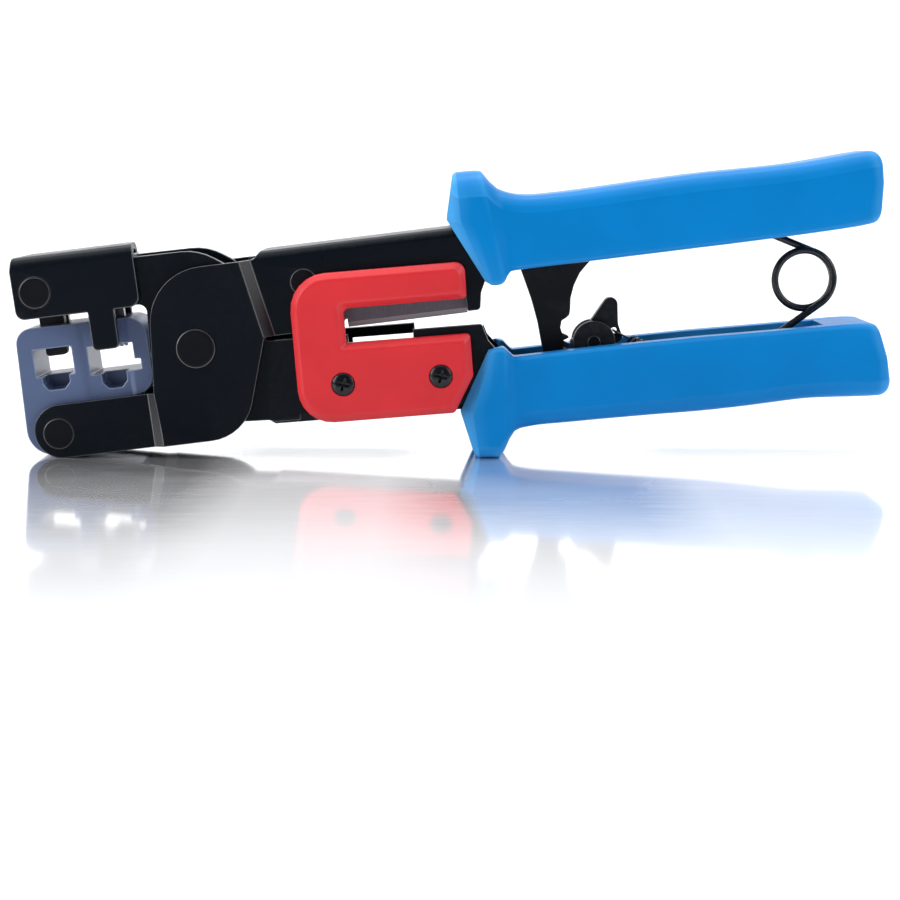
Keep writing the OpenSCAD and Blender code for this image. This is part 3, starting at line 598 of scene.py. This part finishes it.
def grip(node, matrix, flange, body, tang, web, pocket=None):
    """A grip from its flange's rows, its body's stations and its rounded end.

    tang and web are the channel's slotted side and its floor. pocket holds the start, end and
    floor of a deeper stretch of the channel.
    """
    slotted = (SLOT_HALF, tang, web, CHANNEL_HALF)
    rows = flange + between(body, 3)
    last = body[-1]
    sign = 1 if last[5] > last[1] else -1
    turn = [(END_RADIUS * math.sin(math.radians(a)), END_RADIUS * (1 - math.cos(math.radians(a))))
            for a in range(15, 91, 15)]
    for forward, inset in turn + [(END_RADIUS + 0.05, END_RADIUS + 1.5)]:
        rows.append((
            last[0] + forward, last[1] + sign * inset, last[2] + forward, last[3],
            last[4] + forward, last[5] - sign * inset,
            last[6] - inset, max(last[7] - inset, 1.5), last[8], last[9],
        ))
    rings = []
    for row in rows:
        x, rim_z = row[0], row[1]
        channel = slotted
        if pocket and pocket[0] < x < pocket[1]:
            channel = (SLOT_HALF, tang, pocket[2], CHANNEL_HALF)
        width = min(SLOT_HALF, row[6] - row[8] - 0.8)
        closed = (width, rim_z + sign * 0.02, rim_z + sign * 0.03, width)
        mouth = (CHANNEL_HALF, rim_z + sign * 1.2, web, CHANNEL_HALF)
        if row in flange and x < body[0][0] - MOUTH_GAP:
            cavities = [mouth]
        elif x < SLOT_END:
            cavities = [channel]
        else:
            cavities = [slotted, closed] if x == SLOT_END else [closed]
        rings += [grip_ring(row, cavity) for cavity in cavities]
    return finish_mesh(loft(rings, matrix), node, smooth_angle=50)


def body_rows(middle, stations):
    """Grip rows with the same middle z, from (x, rim z, palm z, palm radius) stations."""
    return [
        (x, rim, x, middle, x, palm, BODY_HALF, radius, 1.2, BODY_CREASE)
        for x, rim, palm, radius in stations
    ]


# Every row of a grip holds, in this order: rim x and z, middle x and z, palm x and z,
# half the width, the palm's radius, the rim's radius and the crease's angle.

def upper_grip():
    """The upper grip, with a flange at its front."""
    flange = [
        (73.9, 8.3, 66.2, 23.6, 68.9, 33.9, 10.7, 5.5, 1.2, 20),
        (73.2, 7.7, 65.45, 23.8, 68.3, 34.4, 11.0, 6.3, 1.2, 20),
        (73.1, 7.5, 65.35, 23.8, 68.15, 34.5, 11.15, 6.6, 1.2, 20),
        (74.1, 6.8, 68.7, 22.9, 68.9, 34.85, 12.85, 9.2, 1.2, 20),
        (74.4, 6.6, 69.0, 22.8, 69.2, 34.9, 13.0, 9.5, 1.2, 20),
        (75.5, 6.35, 72.0, 21.6, 71.6, 34.85, 13.0, 9.5, 1.2, 20),
        (76.8, 6.45, 75.0, 20.6, 73.6, 34.75, 13.0, 9.5, 1.2, 20),
        (77.7, 6.95, 76.5, 20, 75.0, 34.55, 13.0, 9.4, 1.2, 20),
        (77.95, 7.25, 76.8, 20, 75.4, 34.2, 12.93, 9.2, 1.2, 20),
        (78.6, 8.3, 78.0, 20, 77.0, 31.7, 12.5, 7.6, 1.2, 17),
        (79.4, 9.15, 79.3, 20, 78.8, 29.7, 12.06, 6.2, 1.2, 13),
    ]
    body = body_rows(19.5, [
        (79.8, 9.35, 29.1, 5.9), (83, 9.45, 27.8, 5.3), (88, 9.45, 27.05, 5.1), (98, 9.4, 26.9, 5.1),
        (110, 9.4, 27.1, 5.1), (125, 9.4, 27.35, 5.1), (136, 9.4, 27.2, 5.1), (148, 9.5, 26.9, 5.1),
        (SLOT_END, 9.6, 27.05, 5.1),
    ])
    body += [
        (165.0, 9.8, 166.0, 19.5, 166.2, 27.6, BODY_HALF, 5.0, 1.5, BODY_CREASE),
        (168.9, 10.1, 170.1, 19.5, 170.3, 27.75, 11.95, 4.8, 1.8, BODY_CREASE),
    ]
    return grip("upper_grip", UPPER, flange, body, 12.1, 21.8)


def table(x):
    """How high the table lies at x along the lower lever."""
    return (-PIVOT.z / MM - x * math.sin(LOWER_SLOPE)) / math.cos(LOWER_SLOPE)


def lower_grip():
    """The lower grip, whose flange has the foot that the tool stands on."""
    flange = [
        (72.9, -7.0, 65.0, -20.9, 67.4, -32.2, 10.7, 2.3, 1.2, 10),
        (72.1, -6.4, 64.05, -20.9, 66.9, -32.7, 11.0, 2.9, 1.2, 10),
        (72.05, -6.2, 64.0, -21.0, 66.8, -32.85, 11.15, 3.1, 1.2, 10),
        (73.2, -5.85, 67.0, -21.9, 67.8, table(67.8), 12.85, 3.6, 1.2, 10),
        (73.5, -5.75, 67.3, -21.9, 68.1, table(68.1), 13.0, 3.8, 1.2, 10),
        (74.6, -5.65, 71.0, -20, 70.8, table(70.8), 13.0, 3.8, 1.2, 10),
        (75.6, -5.75, 74.0, -18, 72.8, table(72.8), 13.0, 3.8, 1.2, 10),
        (76.2, -6.0, 75.85, -16, 74.2, -31.9, 13.0, 3.9, 1.2, 10),
        (76.5, -6.3, 76.1, -16, 74.6, -31.2, 12.93, 4.0, 1.2, 10),
        (77.3, -7.3, 77.2, -16, 75.8, -29.2, 12.5, 4.6, 1.2, 10),
        (78.1, -8.15, 78.2, -16, 77.2, -27.5, 12.06, 5.0, 1.2, 10),
    ]
    body = body_rows(-16, [
        (78.6, -8.35, -26.9, 5.1), (83, -8.2, -26.4, 5.1), (90, -7.95, -26.3, 5.1), (100, -7.6, -26.15, 5.1),
        (112, -7.35, -26.05, 5.1), (124, -7.1, -26.05, 5.1), (136, -7.05, -25.65, 5.1),
        (149, -6.95, -24.95, 5.1), (SLOT_END, -6.85, -25.1, 5.1),
    ])
    body += [
        (163.0, -6.8, 164.4, -16, 164.4, -25.5, BODY_HALF, 5.0, 1.5, BODY_CREASE),
        (166.5, -7.0, 168.1, -16, 168.6, -25.6, 11.95, 4.8, 1.8, BODY_CREASE),
    ]
    # The rack's end dips into the pocket when the tool is closed
    return grip("lower_grip", LOWER, flange, body, -9.6, -20.9, pocket=(80, 99, -23.0))


# ---- guard ----

# Where the screws are, and the guard's two faces
GUARD_SCREWS = [(35.7, -11.5), (59.9, -11.4)]
GUARD_BACK = -10.9
GUARD_FRONT = -15.0


def guard_outline(d):
    """The guard's C-shaped outline, drawn in by d."""
    return rounded([
        (24.2 + d, -21 + d, 8.5 - d), (62.6 - d / 2, -20.95 + d, 1.2),
        (67.9 - d, -12 + d / 3, 1.2), (67.9 - d, -1.55 - d, 1.0),
        (37.2 - d, -1.55 - d, 0.5), (37.2 - d, 7 + d, 1.6), (67.7 - d, 7.2 + d, 1.0),
        (67.9 - d, 16.2 - d, 2.5 - d / 2), (24.2 + d, 16 - d, 9 - d),
    ], 6)


def blade_guard():
    """Moulded guard with a sloped border round its front face and counterbored screw holes."""
    # How far the outline is drawn in, from the back face to the front one
    steps = [
        (0.3, GUARD_BACK), (0.05, GUARD_BACK - 0.15), (0, GUARD_BACK - 0.4),
        (0, -13.1), (0.06, -13.35), (0.22, -13.6),
        (1.3, -14.7), (1.5, -14.88), (1.8, GUARD_FRONT + 0.02), (2.2, GUARD_FRONT),
    ]
    rings = [[(p.x, y, p.y) for p in guard_outline(inset)] for inset, y in steps]
    shell = loft(rings, LOWER)
    counterbore = [(-5.0, 1.5), (-13.69, 1.5), (-13.7, 2.85), (-14.8, 2.9), (-15.1, 3.15), (-16, 3.2)]
    drill = lathed("guard_cut", LOWER, [(x, z, counterbore) for x, z in GUARD_SCREWS])
    cut = bpy.data.objects.new("guard_cut", drill)
    bpy.context.scene.collection.objects.link(cut)
    mesh = baked(shell, ("BOOLEAN", {"operation": "DIFFERENCE", "object": cut, "solver": "EXACT"}))
    bpy.data.objects.remove(cut)
    return finish_mesh(mesh, "blade_guard", smooth_angle=28)


# ---- pins and rivets ----

def turned(node, matrix, spots):
    """Pins made on a lathe, whose rounded edges take a lighter edge material: worn metal, partly a painted
    highlight.
    """
    mesh = lathed(node, matrix, spots)
    slot = SLOT_OF[node]
    mesh.materials.append(MATERIALS[slot])
    mesh.materials.append(MATERIALS[EDGE_OF.get(slot, slot)])
    side = (matrix.to_3x3() @ Vector((0, 1, 0))).normalized()
    for face in mesh.polygons:
        if 0.2 < abs(face.normal.dot(side)) < 0.97:
            face.material_index = 1
    return finish_mesh(mesh, node)


def headed(half, radius, edge, dish=0.0, shank=None):
    """Profile of a pin, 2 * half long, whose ends are softened by edge and dished by dish.

    With a shank, only the ends have the full radius, as heads 2 mm thick.
    """
    end = [
        (half - dish, radius * 0.45), (half - dish * 0.3, radius * 0.72),
        (half, radius - edge * 1.6), (half - edge * 0.12, radius - edge * 0.7),
        (half - edge * 0.45, radius - edge * 0.18), (half - edge, radius),
    ]
    if shank:
        end += [(half - 2.0, radius), (half - 2.0, shank)]
    return [(-y, r) for y, r in end] + [(y, r) for y, r in reversed(end)]


def rivets():
    """The pivots and rivets whose heads show."""
    turned("main_pivot_rivet", UPPER, [(0, 0, headed(13.3, 4.85, 0.4, 0.06))])
    turned("die_pin", UPPER, [(-37.4, -17.2, headed(10.9, 3.8, 0.25, 0.05))])
    turned("press_head_pin", UPPER, [(-37.4, 18.4, headed(13.1, 3.8, 0.25, 0.05, 2.0))])
    turned("blade_rivets", UPPER, [
        (28.4, 12.9, headed(10.7, 3.2, 0.2)), (58, 11, headed(10.7, 2.0, 0.2)),
    ])
    turned("pawl_pin", LOWER, [(98.9, -7.1, headed(3.85, 1.6, 0.2, 0.1))])


# ---- blades ----

# How far a blade's outer face is from the middle plane, and its thickness
BLADE_OUTER = 8.5
BLADE_THICKNESS = 1.1
# Ends of a blade, and where its cutting edge starts
BLADE_START = 24
EDGE_START = 37.9
BLADE_END = 67.8


def blade(node, side):
    """A ground blade whose bevelled edge is lighter steel than its face; the lighter colour is partly a painted
    reflection.
    """
    inner = BLADE_OUTER - BLADE_THICKNESS
    full = [(inner, 0.35), (inner + 0.15, 0.3), (BLADE_OUTER, 1.6), (BLADE_OUTER, 17), (inner, 17)]
    short = [(y, max(z, 2.4)) for y, z in full]
    short[1] = (inner + 0.15, 2.38)
    stations = [(BLADE_START, short), (EDGE_START, short), (EDGE_START, full), (BLADE_END, full)]
    mesh = loft([[(x, side * y, z) for y, z in section] for x, section in stations], UPPER)
    mesh.name = node
    mesh.materials.append(MATERIALS["blade_steel"])
    mesh.materials.append(MATERIALS["blade_bevel"])
    down = (UPPER.to_3x3() @ Vector((0, 0, -1))).normalized()
    for face in mesh.polygons:
        if 0.25 < face.normal.dot(down) < 0.9:
            face.material_index = 1
    return finish_mesh(mesh, node)


# ---- springs ----

def ring_point(centre, radius, degrees):
    """A point on a circle in the plane of the levers."""
    angle = math.radians(degrees)
    return centre[0] + radius * math.cos(angle), centre[1] + radius * math.sin(angle)


def torsion_spring():
    """Wire spring between the handles: leg, one and a third turns, leg."""
    centre, radius, wire = (152.2, 16.3), 7.3, 0.9
    depth = wire + 0.05
    start, end = 68, -54
    upper_leg, lower_leg = 16.5, 15.5
    steps = 150
    sweep = end - 360 - start
    top = ring_point(centre, radius, start)
    low = ring_point(centre, radius, end)
    rise = (-math.sin(math.radians(start)), math.cos(math.radians(start)))
    fall = (math.sin(math.radians(end)), -math.cos(math.radians(end)))
    path = [(top[0] + rise[0] * d, depth, top[1] + rise[1] * d)
            for d in (upper_leg, upper_leg * 0.75, upper_leg / 2, upper_leg / 4)]
    for i in range(steps + 1):
        x, z = ring_point(centre, radius, start + sweep * i / steps)
        path.append((x, depth * (1 - 2 * i / steps), z))
    path += [(low[0] + fall[0] * d, -depth, low[1] + fall[1] * d)
             for d in (lower_leg / 4, lower_leg / 2, lower_leg * 0.75, lower_leg)]
    mesh = tube(path, wire, 20, LEVEL)
    obj = bpy.data.objects.new("torsion_spring_look", mesh)
    bpy.context.scene.collection.objects.link(obj)
    mesh.materials.append(MATERIALS["spring_wire"])
    mesh.shade_smooth()
    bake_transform(obj)
    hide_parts("torsion_spring")


def tension_spring():
    """Coil that pulls the pawl to the middle, hooked through its eye and round an anchor pin."""
    eye, anchor = Vector((104.25, -4.8)), Vector((118, -13.3))
    span = anchor - eye
    coil_x, turns, pitch, coil, wire = 4.4, 7, 1.2, 1.0, 0.3
    steps = 22
    path = [(0, 2.3, 0), (0, 1, 0), (0, 0, 0), (0, -1.4, 0), (0.05, -2.0, 0), (0.25, -2.35, 0),
            (0.6, -2.45, 0), (0.9, -2.4, 0), (2.0, -1.95, 0), (3.2, -1.4, 0)]
    for i in range(turns * steps + 1):
        angle = 2 * math.pi * i / steps
        path.append((coil_x + pitch * i / steps, -coil * math.cos(angle), -coil * math.sin(angle)))
    path.append((coil_x + turns * pitch + 0.9, -coil, 0.2))
    for degrees in range(120, -61, -15):
        hook = ring_point((span.length, 0), 1.55, degrees)
        path.append((hook[0], 0, hook[1]))
    along = Matrix.Translation((eye.x, 0, eye.y)) @ Matrix.Rotation(-math.atan2(span.y, span.x), 4, "Y")
    mesh = tube(path, wire, 10, LOWER @ along)
    mesh.name = "tension_spring"
    return finish_mesh(mesh, "tension_spring", smooth_angle=60)


# ---- stage, light and camera ----

# The sweep, in metres: front edge, radius of its bend (which starts as far back), top, half width
SWEEP_FRONT = -2.2
SWEEP_BEND = 0.9
SWEEP_TOP = 3.0
SWEEP_HALF = 3.5


def studio():
    """A floor that curves up into a wall behind the tool."""
    bm = bmesh.new()
    rows = []
    profile = [(SWEEP_FRONT, 0.0), (SWEEP_BEND, 0.0)]
    for angle in range(10, 91, 10):
        turn = math.radians(angle)
        profile.append((SWEEP_BEND * (1 + math.sin(turn)), SWEEP_BEND * (1 - math.cos(turn))))
    profile.append((SWEEP_BEND * 2, SWEEP_TOP))
    for y, z in profile:
        rows.append([bm.verts.new((x, y, z)) for x in (-SWEEP_HALF, SWEEP_HALF)])
    for a, b in zip(rows, rows[1:]):
        bm.faces.new((a[0], a[1], b[1], b[0]))
    mesh = bpy.data.meshes.new("studio_sweep")
    bm.to_mesh(mesh)
    bm.free()
    mesh.materials.append(studio_floor())
    mesh.shade_smooth()
    sweep = bpy.data.objects.new("studio_sweep", mesh)
    bpy.context.scene.collection.objects.link(sweep)


def area_light(name, place, target, width, height, watts):
    """A white softbox at place that faces target."""
    data = bpy.data.lights.new(name, "AREA")
    data.shape = "RECTANGLE"
    data.size, data.size_y = width, height
    data.energy = watts
    obj = bpy.data.objects.new(name, data)
    obj.location = place
    obj.rotation_euler = (Vector(target) - Vector(place)).to_track_quat("-Z", "Y").to_euler()
    bpy.context.scene.collection.objects.link(obj)


def lights():
    """A softbox above, one on each side, one on the wall and a dim sky."""
    world = bpy.data.worlds.new("studio_world")
    world.use_nodes = True
    background = world.node_tree.nodes["Background"]
    background.inputs["Color"].default_value = (0.93, 0.95, 1, 1)
    background.inputs["Strength"].default_value = 0.08
    bpy.context.scene.world = world
    middle = (0, 0, 0.03)
    area_light("top", (0.0, 0.0, 1.0), middle, 1.6, 1.2, 10)
    area_light("left", (-1.0, -0.4, 0.5), middle, 0.8, 0.8, 9.5)
    area_light("right", (1.0, -0.4, 0.5), middle, 0.8, 0.8, 6)
    area_light("backdrop", (0.0, 0.8, 1.7), (0, 1.7, 0.4), 3.0, 0.8, 38)


# From the main pivot in millimetres, and degrees that the camera looks down
CAMERA_PLACE = (62.84, -468.23, 46.78)
CAMERA_TILT = 9


def camera():
    """Looks along +Y from a little above, as the photograph does."""
    data = bpy.data.cameras.new("camera")
    data.sensor_width = 36
    data.lens = 74
    data.clip_start = 0.01
    obj = bpy.data.objects.new("camera", data)
    obj.location = LEVEL @ Vector(CAMERA_PLACE)
    obj.rotation_euler = (math.radians(90 - CAMERA_TILT), 0, 0)
    bpy.context.scene.collection.objects.link(obj)
    bpy.context.scene.camera = obj


camera()
studio()
lights()

# Painted light on the upper frame's bends
paint_light_on_bends(softened("upper_frame", 0.16, 2), UPPER)
softened("lower_frame", 0.16, 2)
for name in ("press_head", "die_block"):
    softened(name)
for name in ("rack_plate", "pawl", "pawl_bracket", "punch_block", "rj11_strain_bar", "rj45_strain_bar"):
    softened(name, 0.15, 2)
softened("guard_screws", 0.1, 2)
rivets()
tension_spring()
blade("cutter_blade", -1)
blade("stripper_blade", 1)
blade_guard()
upper_grip()
lower_grip()
torsion_spring()

for name, node in frame["nodes"].items():
    if not node.hide_render:
        node.data.materials.clear()
        node.data.materials.append(MATERIALS[SLOT_OF[name]])

bpy.context.scene.view_settings.view_transform = "Standard"
